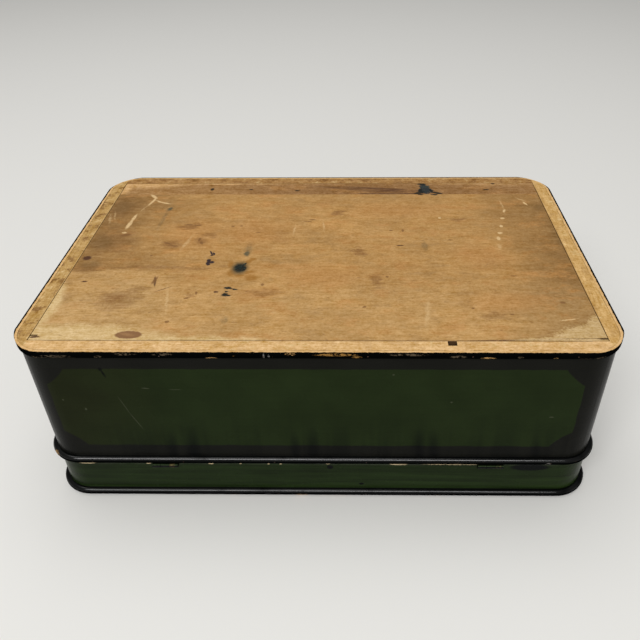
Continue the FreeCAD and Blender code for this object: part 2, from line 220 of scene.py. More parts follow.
DARK_DOTS = (
    ((53.5, 27.2), (1.4, 0.9)),
    ((48.0, -40.4), (1.1, 1.1)),
    ((-11.0, 45.0), (2.6, 0.9)),
    ((-42.0, -50.5), (1.3, 1.6)),
    ((31.0, -77.2), (1.6, 0.9), 30.0),
    ((167.2, -72.0), (2.0, 1.1)),
    ((105.0, -78.6), (1.0, 0.9)),
    ((-100.6, -94.0), (1.5, 1.4)),
    ((-76.0, 34.0), (1.5, 0.9)),
    ((-69.0, 34.6), (1.2, 0.9)),
    ((130.0, -85.5), (1.6, 0.7)),
    ((95.5, 48.6), (1.1, 0.8)),
    ((-160.6, 20.0), (4.0, 2.0), 15.0),
    ((-132.0, -11.0), (1.1, 0.8)),
    ((-15.0, 42.0), (3.4, 0.6)),
    ((63.0, 27.0), (1.0, 2.2)),
    ((-87.6, -61.0), (0.8, 2.0), 10.0),
    ((-93.0, -67.0), (2.2, 0.8), 20.0),
    ((-123.6, 7.0), (3.4, 1.0), -25.0),
    ((-118.0, 3.0), (4.0, 0.8), -15.0),
    ((-113.0, 36.6), (3.4, 1.0)),
    ((-105.4, 35.4), (3.6, 0.8), 10.0),
    ((-99.6, 13.0), (1.0, 2.4)),
    ((-97.0, 7.6), (1.2, 2.2), 20.0),
    ((-121.0, -45.0), (1.2, 5.0), -12.0),
    ((15.0, 60.0), (2.2, 0.6)),
    ((-54.0, 24.0), (1.8, 0.6)),
    ((140.0, -39.0), (2.6, 0.6)),
    ((100.0, 12.0), (1.8, 0.6)),
)
ROSY_PATCHES = (
    ((0.0, -40.0), (24.0, 12.0)),
    ((122.0, -12.0), (20.0, 14.0)),
    ((-45.0, -62.0), (18.0, 5.0)),
    ((-58.0, 26.0), (26.0, 18.0)),
    ((128.0, -72.0), (26.0, 12.0)),
    ((60.0, 62.0), (36.0, 12.0)),
    ((-104.0, 22.0), (20.0, 22.0)),
    ((-26.0, -27.0), (26.0, 4.0)),
    ((110.0, 66.0), (40.0, 3.0)),
)
PALE_EDGES = (
    ((-174.0, -119.0), (86.0, 21.0)),
    ((-84.0, -119.0), (66.0, 9.5)),
    ((-192.0, -76.0), (12.0, 30.0)),
)
GREY_EDGES = (
    ((187.0, -116.0), (36.0, 20.0)),
    ((190.0, -102.0), (13.0, 17.0)),
    ((163.0, -114.0), (38.0, 4.6)),
)
DABS = (
    ((151.0, 60.2), (1.1, 2.8), -20.0),
    ((147.2, 47.2), (1.8, 1.4), 20.0),
    ((143.9, 34.0), (1.4, 1.8), -15.0),
    ((141.0, 22.8), (2.0, 1.5)),
    ((138.4, 14.4), (1.5, 2.6)),
    ((171.4, 73.6), (0.9, 3.4), 25.0),
    ((-163.0, 23.6), (2.0, 1.2)),
    ((95.0, 48.0), (1.2, 1.6)),
)
SCRATCHES = (
    ((-161.4, 96.0), (-156.4, 89.6), 2.2),
    ((-157.6, 91.2), (-151.0, 83.0), 3.0),
    ((-151.6, 85.0), (-155.4, 71.0), 2.3),
    ((-151.0, 80.0), (-144.2, 75.8), 1.8),
    ((-146.4, 76.8), (-136.8, 73.2), 1.9),
    ((-161.2, 54.5), (-162.4, 41.0), 2.6),
    ((-162.0, 45.0), (-163.4, 30.0), 3.2),
    ((160.0, -92.5), (173.0, -90.2), 0.9),
    ((124.0, -112.3), (186.0, -111.9), 0.8),
)
FAINT_SCRATCHES = (
    ((-156.2, 69.0), (-159.4, 60.0), 1.0),
    ((-106.6, 18.0), (-111.0, -2.0), 2.4),
    ((-183.0, 53.0), (-180.0, 40.0), 1.6),
    ((-180.5, 58.0), (-177.4, 46.0), 1.2),
    ((75.0, -72.0), (72.0, -98.0), 3.0),
    ((-24.6, 36.0), (-25.2, 22.0), 1.6),
    ((-109.0, -56.0), (-104.0, -82.0), 2.0),
    ((-2.0, 42.0), (-1.0, 28.0), 1.4),
    ((137.4, 5.5), (137.0, -1.5), 2.4),
    ((150.6, 78.0), (151.4, 66.0), 1.6),
    ((166.0, 84.0), (172.0, 78.0), 1.6),
)
HAIR_CRACKS = (
    ((-121.8, -40.0), (-119.0, -53.0), 1.8),
    ((96.0, -113.3), (184.0, -110.9), 0.9),
    ((-118.0, -60.0), (-106.0, -52.0), 0.6),
)
KNOT_AT = (-122.5, -107.8)
KNOT_HALF = (8.8, 4.0)
KNOT_HEART_HALF = (5.0, 1.6)

# Marks on the narrow board
STRIP_PALE_EDGES = (
    ((-176.0, 116.0), (46.0, 12.0)),
    ((-188.0, 104.0), (9.0, 14.0)),
    ((-90.0, 117.5), (100.0, 6.0)),
)
STRIP_TAN = ((-170.0, 96.0), (100.0, 20.0))
STRIP_PALE_LINE = ((146.0, 118.0), (66.0, 9.0))
STRIP_SHADE = ((40.0, 99.0), (120.0, 14.0))
STRIP_STREAKS = (
    ((44.0, 101.4), (42.0, 3.4), -5.0),
    ((58.0, 93.0), (32.0, 1.6)),
    ((62.0, 98.0), (30.0, 2.2)),
    ((8.0, 104.6), (20.0, 1.2), -6.0),
)
STRIP_DOTS = (
    ((-105.0, 101.6), (1.6, 2.4)),
    ((-69.6, 101.0), (1.8, 0.9)),
    ((-28.0, 98.6), (2.2, 1.0)),
    ((142.0, 100.6), (2.8, 0.8)),
    ((150.0, 112.4), (1.7, 1.2)),
    ((84.8, 111.4), (4.0, 1.6)),
    ((97.0, 94.0), (5.4, 1.6), -22.0),
    ((81.6, 94.2), (5.0, 2.2), 25.0),
    ((82.6, 98.6), (1.7, 3.8), -15.0),
    ((92.6, 98.0), (1.2, 3.6), 18.0),
)
BLOT = (
    ((87.8, 98.6), (6.2, 6.2)),
    ((87.2, 105.0), (4.6, 4.6)),
    ((86.0, 109.6), (3.0, 2.2)),
)

# Marks on the hinged back, as x and z in millimetres
BACK_SCRATCHES = (
    ((-133.4, 99.2), (-128.4, 83.5), 0.4),
    ((-128.6, 84.0), (-122.3, 68.4), 0.45),
    ((-116.0, 107.4), (-111.0, 107.0), 0.8),
    ((-98.0, 106.2), (-90.0, 106.0), 0.4),
)
BACK_SPECKS = (
    ((-157.6, 87.8), (0.7, 1.1)),
    ((89.0, 95.2), (0.8, 0.6)),
    ((157.6, 81.4), (1.6, 0.5)),
    ((49.6, 119.6), (0.7, 0.6)),
    ((-171.0, 96.4), (0.6, 0.6)),
)
BACK_DRIPS = (
    ((-138.6, 120.4), (0.7, 3.8), 16.0),
    ((-139.8, 123.8), (1.3, 1.5)),
)
# Painted reflections: dark vertical streaks on the lower back wall that stand for folds of the floor
# reflected in the gloss paint
BACK_FOLD_REFLECTIONS = (
    ((-104.6, 48.0), (3.2, 13.0), -4.0),
    ((-90.4, 47.0), (3.6, 14.0), -5.0),
    ((-17.5, 47.0), (2.8, 13.0)),
    ((-4.5, 46.0), (3.4, 15.0)),
    ((70.0, 48.0), (3.0, 14.0), 4.0),
    ((80.5, 47.0), (3.4, 14.0), 6.0),
    ((153.0, 46.0), (2.6, 9.0), 4.0),
)
LID_RIM_WEAR = (
    ((-125.4, 32.4), (1.6, 0.4)),
    ((-80.0, 32.4), (1.8, 0.5)),
    ((-58.4, 32.5), (0.9, 0.4)),
    ((-38.0, 32.5), (0.9, 0.4)),
    ((-29.2, 32.4), (0.8, 0.4)),
    ((5.0, 32.6), (1.8, 0.3)),
    ((56.0, 32.4), (6.0, 0.5)),
    ((94.0, 32.5), (19.0, 0.25)),
    ((-170.0, 32.5), (6.0, 0.4)),
)
LID_SMEARS_AND_HINGE_SHADOWS = (
    ((6.6, 29.2), (2.3, 2.1)),
    ((151.0, 29.8), (14.0, 3.4)),
    ((29.4, 10.8), (1.7, 1.2)),
    # The last two are painted shadows under the hinge barrels, not smears
    ((-112.5, 29.4), (9.0, 0.8)),
    ((122.0, 29.4), (9.0, 0.8)),
)

# Zones of the underside and the sides, each from where a tone starts to where it is full, in millimetres
UPPER_PART = (-35.0, -29.0)
LEFT_DARKENS = (-88.0, -190.0)
RIGHT_DARKENS = (105.0, 194.0)
FAR_DARKENS = (50.0, 100.0)
NEAR_PALES = (-35.0, -70.0)
LEFT_RUBBED = (-92.0, -128.0)
BACK_JOINT_DIRT = (-112.6, -113.5)
AWAY_FROM_BACK = (-109.0, -105.0)
TIGHT_RIGHT = (150.0, 180.0)
TIGHT_FAR = (20.0, 60.0)
TIGHT_LEFT = (-40.0, -90.0)
PALE_LEFT_JOINT = (-172.0, -184.0)
STRIP_TIGHT_LEFT = (-20.0, -80.0)
STRIP_TIGHT_RIGHT = (110.0, 150.0)
VARNISH_BROWNS = (-70.0, -190.0)
# Heights where the paint runs and the painted reflections on the walls start and are full
RUNS_AND_REFLECTIONS_DARKEN = (92.0, 46.0)
HINGE_BRIGHT_END = (3.6, 7.0)

# Chips on the beads: the place, the half sizes and the colour that they show
LID_BEAD_CHIPS = (
    ((-15.2, -126.4, 1.6), (4.6, 1.8, 1.3), BEAD_WOOD),
    ((-66.0, -126.4, 1.5), (1.8, 1.6, 0.9), BEAD_WOOD),
    ((8.0, -126.4, 1.3), (14.0, 1.6, 0.7), AMBER_WOOD),
    ((84.0, -126.4, 1.4), (5.0, 1.6, 0.7), AMBER_WOOD),
)
RIM_BEAD_CHIPS = (
    ((-191.8, -119.2, 37.4), (3.4, 3.6, 3.0), BEAD_WOOD),
    ((162.0, -126.8, 37.4), (2.0, 2.0, 1.6), GREY_CHIP),
)
BASE_BEAD_CHIPS = (
    ((-65.5, -126.6, 136.4), (3.4, 1.6, 0.9), BEAD_WOOD),
    ((13.0, -126.4, 139.2), (13.0, 1.4, 0.8), AMBER_WOOD),
    ((26.0, -126.9, 137.6), (3.0, 1.4, 0.8), AMBER_WOOD),
    ((-16.0, -126.3, 139.5), (3.2, 1.2, 0.8), BEAD_WOOD),
    ((58.0, -126.4, 139.3), (12.0, 1.2, 0.7), DULL_CHIP),
    ((89.0, -126.9, 138.0), (5.0, 1.4, 1.0), DULL_CHIP),
    ((108.0, -126.7, 136.8), (4.4, 1.5, 1.0), BEAD_WOOD),
    ((128.0, -126.9, 137.6), (1.8, 1.4, 0.8), DULL_CHIP),
    ((150.0, -126.7, 136.6), (1.4, 1.5, 0.8), BEAD_WOOD),
    ((-137.0, -126.8, 137.6), (2.2, 1.4, 0.9), DULL_CHIP),
    ((-164.0, -126.8, 138.0), (9.0, 1.4, 0.9), DULL_CHIP),
    ((-96.0, -126.4, 139.2), (6.0, 1.2, 0.7), DULL_CHIP),
    ((-120.0, -126.4, 139.4), (7.0, 1.2, 0.6), DULL_CHIP),
    ((-32.4, -126.8, 138.0), (0.5, 1.6, 2.2), GREY_CHIP),
    ((-29.2, -126.8, 138.2), (0.7, 1.4, 1.4), GREY_CHIP),
    ((-168.0, -125.9, 136.3), (17.0, 1.6, 0.5), DULL_CHIP),
    ((176.0, -125.6, 136.3), (13.0, 1.8, 0.5), DULL_CHIP),
)


class Finish:
    """One material and its node tree, with places in millimetres in the row frame."""

    def __init__(self, name, specular=0.5, metallic=0.0):
        self.material = bpy.data.materials.new(name)
        self.material.use_nodes = True
        self.tree = self.material.node_tree
        self.shader = self.tree.nodes["Principled BSDF"]
        self.feed(self.shader.inputs["Specular IOR Level"], specular)
        self.feed(self.shader.inputs["Metallic"], metallic)
        metres = self.add("ShaderNodeTexCoord").outputs["Object"]
        self.place = self.vector("SCALE", metres, scale=1 / MM)
        self.x, self.y, self.z = self.parts(self.place)

    def add(self, kind, **settings):
        node = self.tree.nodes.new(kind)
        for key, value in settings.items():
            setattr(node, key, value)
        return node

    def feed(self, socket, value):
        """Links an output to a socket, or sets the socket to a plain value."""
        if isinstance(value, bpy.types.NodeSocket):
            self.tree.links.new(value, socket)
        elif socket.type == "RGBA":
            socket.default_value = (*value, 1.0)
        else:
            socket.default_value = value

    def math(self, operation, a, b=0.0):
        node = self.add("ShaderNodeMath", operation=operation)
        self.feed(node.inputs[0], a)
        self.feed(node.inputs[1], b)
        return node.outputs[0]

    def vector(self, operation, a, b=(0, 0, 0), scale=1.0):
        node = self.add("ShaderNodeVectorMath", operation=operation)
        self.feed(node.inputs[0], a)
        if operation == "SCALE":
            self.feed(node.inputs["Scale"], scale)
        elif operation != "LENGTH":
            self.feed(node.inputs[1], b)
        return node.outputs["Value" if operation in ("LENGTH", "DOT_PRODUCT") else "Vector"]

    def parts(self, vector):
        split = self.add("ShaderNodeSeparateXYZ")
        self.feed(split.inputs[0], vector)
        return split.outputs

    def joined(self, x, y, z=0.0):
        node = self.add("ShaderNodeCombineXYZ")
        for socket, value in zip(node.inputs, (x, y, z)):
            self.feed(socket, value)
        return node.outputs[0]

    def ramp(self, value, low, high):
        """0 at low, 1 at high, and smooth between."""
        node = self.add("ShaderNodeMapRange", interpolation_type="SMOOTHSTEP")
        self.feed(node.inputs["Value"], value)
        self.feed(node.inputs["From Min"], low)
        self.feed(node.inputs["From Max"], high)
        return node.outputs[0]

    def span(self, value, low, high, soft):
        """1 between low and high, with soft ends."""
        rise = self.ramp(value, low - soft, low + soft)
        return self.math("MULTIPLY", rise, self.ramp(value, high + soft, high - soft))

    def noise(self, size, detail=3.0, stretch=(1, 1, 1), shift=(0, 0, 0), warp=0.0, rough=0.5):
        """Noise from 0 to 1 with features of about this size in millimetres, drawn out along the axes."""
        place = self.vector("DIVIDE", self.vector("ADD", self.place, shift), stretch)
        return self.noise_node(place, size, detail, rough, warp).outputs[0]

    def noise_node(self, place, size, detail, rough, warp=0.0):
        node = self.add("ShaderNodeTexNoise")
        self.feed(node.inputs["Vector"], place)
        self.feed(node.inputs["Scale"], 1 / size)
        self.feed(node.inputs["Detail"], detail)
        self.feed(node.inputs["Roughness"], rough)
        self.feed(node.inputs["Distortion"], warp)
        return node

    def mix(self, share, a, b):
        node = self.add("ShaderNodeMix", data_type="RGBA")
        self.feed(node.inputs[0], share)
        self.feed(node.inputs[6], a)
        self.feed(node.inputs[7], b)
        return node.outputs[2]

    def shade(self, colour, factor):
        """The colour made darker or lighter by a factor."""
        return self.vector("SCALE", colour, scale=factor)

    def most(self, *shares):
        """The greatest of several shares."""
        total = shares[0]
        for share in shares[1:]:
            total = self.math("MAXIMUM", total, share)
        return total

    def both(self, *shares):
        """The product of several shares."""
        total = shares[0]
        for share in shares[1:]:
            total = self.math("MULTIPLY", total, share)
        return total

    def rest(self, share):
        """What a share leaves of the whole."""
        return self.math("SUBTRACT", 1.0, share)

    def around(self, value, middle, reach):
        """A noise moved so that its middle lies at this value, and spread to this reach."""
        centred = self.math("SUBTRACT", value, 0.5)
        return self.math("ADD", self.math("MULTIPLY", centred, 2 * reach), middle)

    def wavering(self, size, reach):
        """Places shifted by a noise, so that what is drawn with them gets an uneven edge."""
        node = self.noise_node(self.place, size, 4.0, 0.6)
        centred = self.vector("SUBTRACT", node.outputs["Color"], (0.5, 0.5, 0.5))
        return self.vector("ADD", self.place, self.vector("SCALE", centred, scale=2 * reach))

    def upright(self, size, reach):
        """Wavering places with z as the second axis, to draw on the back."""
        x, _, z = self.parts(self.wavering(size, reach))
        return self.joined(x, z)

    def away(self, place, at, half, turn=0.0):
        """How far a place lies from the middle of an ellipse across the first two axes, 1 at its edge."""
        if not turn:
            node = self.add("ShaderNodeVectorMath", operation="MULTIPLY_ADD")
            self.feed(node.inputs[0], place)
            self.feed(node.inputs[1], (1 / half[0], 1 / half[1], 0))
            self.feed(node.inputs[2], (-at[0] / half[0], -at[1] / half[1], 0))
            return self.vector("LENGTH", node.outputs[0])
        cos, sin = math.cos(math.radians(turn)), math.sin(math.radians(turn))
        squares = 0.0
        for axis, reach in (((cos, sin, 0), half[0]), ((-sin, cos, 0), half[1])):
            along = self.vector("DOT_PRODUCT", place, [part / reach for part in axis])
            along = self.math("SUBTRACT", along, (axis[0] * at[0] + axis[1] * at[1]) / reach)
            squares = self.math("ADD", self.math("MULTIPLY", along, along), squares)
        return self.math("SQRT", squares)

    def blots(self, place, marks, soft=0.5, uneven=None, reach=1.0):
        """1 inside any of several ellipses, falling to 0 at their edges, which a noise can make uneven."""
        least = 10.0
        for mark in marks:
            least = self.math("MINIMUM", least, self.away(place, *mark))
        if uneven is not None:
            least = self.math("ADD", least, self.around(uneven, 0.0, reach))
        return self.ramp(least, 1.0 + soft / 2, 1.0 - soft / 2)

    def strokes(self, place, marks, soft=0.6):
        """Thin marks, each between two places across the first two axes."""
        drawn = []
        for start, end, width in marks:
            run = Vector(end) - Vector(start)
            turn = math.degrees(math.atan2(run.y, run.x))
            drawn.append(((Vector(end) + Vector(start)) / 2, (run.length / 2, width / 2), turn))
        return self.blots(place, drawn, soft)

    def lump(self, at, half, soft=0.5):
        """1 inside an ellipsoid, falling to 0 at its surface."""
        away = self.vector("DIVIDE", self.vector("SUBTRACT", self.place, at), half)
        return self.ramp(self.vector("LENGTH", away), 1.0 + soft / 2, 1.0 - soft / 2)

    def out_from_wall(self):
        """The distance outwards from the rounded outside of the walls, below zero inside."""
        past_x = self.math("SUBTRACT", self.math("ABSOLUTE", self.x), HALF_W - CORNER_R)
        past_y = self.math("SUBTRACT", self.math("ABSOLUTE", self.y), HALF_D - CORNER_R)
        round_part = self.joined(self.math("MAXIMUM", past_x, 0.0), self.math("MAXIMUM", past_y, 0.0))
        inner = self.math("MINIMUM", self.math("MAXIMUM", past_x, past_y), 0.0)
        out = self.math("ADD", self.vector("LENGTH", round_part), inner)
        return self.math("SUBTRACT", out, CORNER_R)

    def panel(self, along, half_long, across, low, high):
        """1 inside a rectangle with hollow scoops taken from its corners."""
        past_u = self.math("SUBTRACT", self.math("ABSOLUTE", along), half_long)
        middle = self.math("ABSOLUTE", self.math("SUBTRACT", across, (low + high) / 2))
        past_v = self.math("SUBTRACT", middle, (high - low) / 2)
        chord = SCOOP * math.sqrt(2)
        radius = chord ** 2 / (8 * SCOOP_DEEP) + SCOOP_DEEP / 2
        centre = (radius - SCOOP_DEEP - chord / 2) / math.sqrt(2)
        from_u, from_v = (self.math("SUBTRACT", past, centre) for past in (past_u, past_v))
        from_centre = self.joined(from_u, from_v)
        scooped = self.math("SUBTRACT", radius, self.vector("LENGTH", from_centre))
        past = self.most(past_u, past_v, scooped)
        past = self.math("ADD", past, self.around(self.noise(14.0), 0.0, 0.8))
        return self.ramp(past, PAINT_EDGE, -PAINT_EDGE)

    def bare_face(self):
        """1 on the flat bare face of the underside, 0 below it."""
        return self.ramp(self.z, *(TOP + depth for depth in BARE_FACE))

    def finish(self, colour, roughness, height=None, depth=0.0):
        """Joins the colour, the roughness and the relief in millimetres to the shader."""
        self.feed(self.shader.inputs["Base Color"], colour)
        self.feed(self.shader.inputs["Roughness"], roughness)
        if height is not None:
            bump = self.add("ShaderNodeBump")
            self.feed(bump.inputs["Height"], height)
            self.feed(bump.inputs["Distance"], depth * MM)
            self.feed(self.shader.inputs["Normal"], bump.outputs[0])
        return self.material


# Bare wood, with fibres and growth bands along one axis
def bare_wood(f, tone, axis="x", shift=(0, 0, 0), contrast=1.0):
    """The colour of planed, handled wood, which fades as it gets lighter, and the height of its fibres."""
    long_fibre = (10, 1, 1) if axis == "x" else (1, 10, 1)
    long_band = (9, 1, 1) if axis == "x" else (1, 9, 1)
    fibre = f.noise(1.0, 5, long_fibre, shift, rough=0.7)
    band = f.noise(3.0, 4, long_band, shift, warp=0.2, rough=0.6)
    smudge = f.noise(4.6, 6, (1.3, 1, 1), shift, rough=0.8)
    grit = f.noise(1.3, 3, (1.4, 1.2, 1), shift, rough=0.7)
    swing = f.math("ADD", f.around(fibre, 0.0, 0.44), f.around(band, 0.0, 0.24))
    swing = f.math("ADD", swing, f.around(smudge, 0.0, 0.5))
    swing = f.both(f.math("ADD", swing, f.around(grit, 0.0, 0.34)), contrast)
    factor = f.vector("ADD", f.vector("SCALE", FADING, scale=swing), (1, 1, 1))
    return f.vector("MULTIPLY", tone, factor), fibre


def inside_wood(f, axis="x", shift=(0, 0, 0)):
    """The colour of clean planed wood inside the box, with long fibres and growth bands, and its height."""
    fibre = f.noise(0.8, 5, (12, 1, 1) if axis == "x" else (1, 12, 1), shift, rough=0.7)
    band = f.noise(5.0, 4, (20, 1, 1) if axis == "x" else (1, 20, 1), shift, warp=0.4, rough=0.55)
    swing = f.math("ADD", f.around(fibre, 0.0, 0.3), f.around(band, 0.0, 0.6))
    factor = f.vector("ADD", f.vector("SCALE", FADING, scale=swing), (1, 1, 1))
    return f.vector("MULTIPLY", INSIDE_WOOD, factor), fibre


def plain_inside(f, colour, axis="x"):
    """Clean wood below the bare face of the underside, where no mark reaches."""
    inside = inside_wood(f, axis, (0, 150, 0))[0]
    return f.mix(f.ramp(f.z, BOARD_LOW + 0.5, BOARD_LOW + 0.1), colour, inside)


def grimy_joints(f, colour, dirt):
    """Dirt in the joints, the splits and the sunk places between the inside and the bare face."""
    sunk = f.ramp(f.z, TOP - 0.15, TOP - 0.5)
    return f.mix(f.both(sunk, f.ramp(f.z, BOARD_LOW + 0.1, BOARD_LOW + 0.6)), colour, dirt)


def wide_board():
    """The wide board of the underside: dark at its ends, pale at its rubbed rims, inked and scratched."""
    f = Finish("bottom_board_wood", specular=0.12)
    loose = f.wavering(16.0, 7.0)
    ragged = f.wavering(3.4, 1.9)
    fine = f.wavering(1.8, 0.8)
    cloud = f.noise(42.0, 5, (1.5, 1, 1), rough=0.6)
    mottle = f.noise(13.0, 6, (1.8, 1, 1), (0, 0, 50), rough=0.7)
    streak = f.noise(2.6, 5, (5, 1, 1), (0, 0, 70), rough=0.65)
    fleck = f.noise(2.0, 4, rough=0.7)
    uneven_y = f.math("ADD", f.y, f.around(f.noise(16.0, 5, (2, 1, 1), rough=0.6), 0.0, 9.0))
    upper = f.ramp(uneven_y, *UPPER_PART)
    left = f.ramp(f.x, *LEFT_DARKENS)
    ends = f.most(f.both(left, upper), f.ramp(f.x, *RIGHT_DARKENS), f.both(f.ramp(f.y, *FAR_DARKENS), 0.18))
    patina = f.math("ADD", f.both(ends, f.ramp(cloud, 0.05, 0.6)), f.both(f.ramp(cloud, 0.5, 0.75), 0.2))
    tone = f.mix(patina, TAN_WOOD, EDGE_PATINA)
    tone = f.mix(f.both(f.ramp(f.y, *NEAR_PALES), 0.12), tone, PALE_WOOD)
    tone = f.mix(f.both(f.ramp(mottle, 0.5, 0.66), 0.6), tone, ROSY_WOOD)
    tone = f.mix(f.both(f.ramp(mottle, 0.48, 0.34), 0.6), tone, GREY_PATINA)
    tone = f.shade(tone, f.around(f.noise(22.0, 5, (1.6, 1, 1), (60, 0, 0), rough=0.7), 1.0, 0.34))
    tone = f.mix(f.both(f.blots(loose, ROSY_PATCHES, 1.4), 0.55), tone, ROSY_WOOD)
    rubbed = f.both(f.ramp(f.x, *LEFT_RUBBED), f.rest(upper), f.ramp(mottle, 0.3, 0.6), 0.2)
    tone = f.mix(rubbed, tone, PALE_WOOD)
    stained = f.both(f.blots(loose, BROWN_PATCHES, 1.0, streak, 1.6), f.ramp(fleck, 0.15, 0.55))
    tone = f.mix(f.both(stained, 0.44), tone, BROWN_STAIN)
    olive = f.both(f.blots(loose, OLIVE_STAINS, 1.2), f.ramp(mottle, 0.25, 0.55), 0.6)
    tone = f.mix(olive, tone, OLIVE_STAIN)
    tone = f.mix(f.both(f.blots(loose, PALE_EDGES, 0.5), 0.92), tone, PALE_WOOD)
    tone = f.mix(f.both(f.blots(loose, GREY_EDGES, 1.0), 0.35), tone, EDGE_PATINA)
    grey = f.both(f.blots(ragged, GREY_EDGES, 0.25, fleck, 0.5), f.ramp(fleck, 0.1, 0.5), 0.72)
    tone = f.mix(grey, tone, PALE_WOOD)
    colour, fibre = bare_wood(f, tone)
    rusty = f.both(f.blots(ragged, RUSTY_STAINS, 0.8, streak, 1.8), f.ramp(fleck, 0.25, 0.6), 0.5)
    colour = f.mix(rusty, colour, RUSTY_STAIN)
    dashes = f.ramp(f.noise(1.4, 3, (3, 1, 1), (0, 0, 90), rough=0.6), 0.62, 0.72)
    colour = f.mix(f.both(dashes, 0.5), colour, BROWN_STAIN)
    glints = f.ramp(f.noise(1.1, 3, (1, 2, 1), (0, 0, 120), rough=0.6), 0.68, 0.78)
    colour = f.mix(f.both(glints, 0.35), colour, CREAM)
    faint = f.both(f.strokes(ragged, FAINT_SCRATCHES, 1.6), f.ramp(fleck, 0.3, 0.6), 0.5)
    colour = f.mix(faint, colour, CREAM)
    colour = f.mix(f.both(f.strokes(fine, HAIR_CRACKS), 0.8), colour, DARK_STREAK)
    knot = f.both(f.blots(fine, [(KNOT_AT, KNOT_HALF)], 0.25), 0.92)
    heart = f.blots(loose, [(KNOT_AT, KNOT_HEART_HALF)], 1.4)
    colour = f.mix(knot, colour, f.mix(heart, KNOT, KNOT_HEART))
    halo = f.both(f.blots(ragged, RUST_LOBES, 1.1), f.ramp(fleck, 0.1, 0.5), 0.8)
    colour = f.mix(halo, colour, RUST_HALO)
    haze = f.both(f.blots(ragged, FAINT_TEAL, 1.3), f.ramp(fleck, 0.25, 0.6), 0.36)
    colour = f.mix(haze, colour, TEAL_INK)
    teal = f.both(f.blots(ragged, TEAL_SMEARS, 1.0), f.ramp(fleck, 0.15, 0.5), 0.8)
    colour = f.mix(teal, colour, TEAL_INK)
    colour = f.mix(f.both(f.blots(fine, DARK_DOTS, 0.8), 0.8), colour, BROWN_STAIN)
    colour = f.mix(f.both(f.blots(fine, BROWN_INK, 0.8), f.ramp(fleck, 0.1, 0.5)), colour, DARK_STREAK)
    purple = f.both(f.blots(fine, PURPLE_INK_SPOTS, 0.7), f.ramp(fleck, 0.15, 0.45))
    colour = f.mix(purple, colour, PURPLE_INK)
    ink = f.both(f.blots(fine, INK_SPOTS, 0.8, fleck, 0.5), f.ramp(fleck, 0.15, 0.45))
    colour = f.mix(ink, colour, f.mix(f.ramp(fleck, 0.5, 0.7), INK, INK_SHEEN))
    chips = f.most(f.blots(fine, DABS, 0.5), f.strokes(fine, SCRATCHES, 0.7))
    colour = f.mix(f.both(chips, f.ramp(fleck, 0.25, 0.5), 0.88), colour, CREAM)
    uneven_joint = f.math("ADD", f.y, f.around(fleck, 0.0, 0.5))
    near_joint = f.both(f.ramp(uneven_joint, *BACK_JOINT_DIRT), 0.6)
    colour = f.mix(near_joint, colour, JOINT_BROWN)
    away_from_back = f.ramp(f.y, *AWAY_FROM_BACK)
    tight = f.both(f.ramp(f.x, *TIGHT_RIGHT), away_from_back)
    tight = f.most(tight, f.both(f.ramp(f.y, *TIGHT_FAR), f.ramp(f.x, *TIGHT_LEFT)))
    dirt = f.mix(tight, JOINT_BROWN, TIGHT_JOINT)
    dirt = f.mix(f.both(f.ramp(f.x, *PALE_LEFT_JOINT), away_from_back), dirt, PALE_JOINT)
    colour = plain_inside(f, grimy_joints(f, colour, dirt))
    return f.finish(colour, f.around(fibre, 0.6, 0.14), fibre, WOOD_RELIEF)


def narrow_strip():
    """The narrow board of the underside: brown, with dark streaks and a blot of ink."""
    f = Finish("bottom_strip_wood", specular=0.12)
    loose = f.wavering(14.0, 4.0)
    ragged = f.wavering(3.4, 1.5)
    fine = f.wavering(1.8, 0.8)
    fleck = f.noise(2.0, 4, rough=0.7)
    mottle = f.noise(11.0, 6, (2.4, 1, 1), (0, 0, 50), rough=0.7)
    tone = f.mix(f.both(f.blots(loose, [STRIP_SHADE], 1.2), 0.4), STRIP_WOOD, BROWN_STAIN)
    tone = f.mix(f.both(f.ramp(mottle, 0.5, 0.7), 0.5), tone, ROSY_WOOD)
    tone = f.mix(f.both(f.blots(loose, [STRIP_TAN], 1.2), 0.2), tone, TAN_WOOD)
    faint = f.both(f.blots(loose, [STRIP_PALE_LINE], 0.6), 0.4)
    pale = f.most(f.blots(loose, STRIP_PALE_EDGES, 0.7), faint)
    tone = f.mix(f.both(pale, 0.95), tone, STRIP_PALE_WOOD)
    colour, fibre = bare_wood(f, tone, "x", (300, 0, 0), 1.6)
    drawn_out = f.ramp(f.noise(1.3, 5, (12, 1, 1), rough=0.6), 0.3, 0.6)
    colour = f.mix(f.both(f.blots(ragged, STRIP_STREAKS, 1.0), drawn_out, 0.85), colour, DARK_STREAK)
    blot = f.both(f.blots(fine, BLOT, 0.4, fleck, 1.0), f.ramp(fleck, 0.2, 0.45))
    colour = f.mix(blot, colour, f.mix(f.ramp(mottle, 0.32, 0.52), INK_SHEEN, BLUE_INK))
    colour = f.mix(f.both(f.blots(fine, STRIP_DOTS, 0.6), 0.92), colour, INK)
    tight = f.most(f.ramp(f.x, *STRIP_TIGHT_LEFT), f.ramp(f.x, *STRIP_TIGHT_RIGHT))
    dirt = f.mix(tight, JOINT_BROWN, TIGHT_JOINT)
    colour = plain_inside(f, grimy_joints(f, colour, dirt))
    return f.finish(colour, f.around(fibre, 0.6, 0.14), fibre, WOOD_RELIEF)


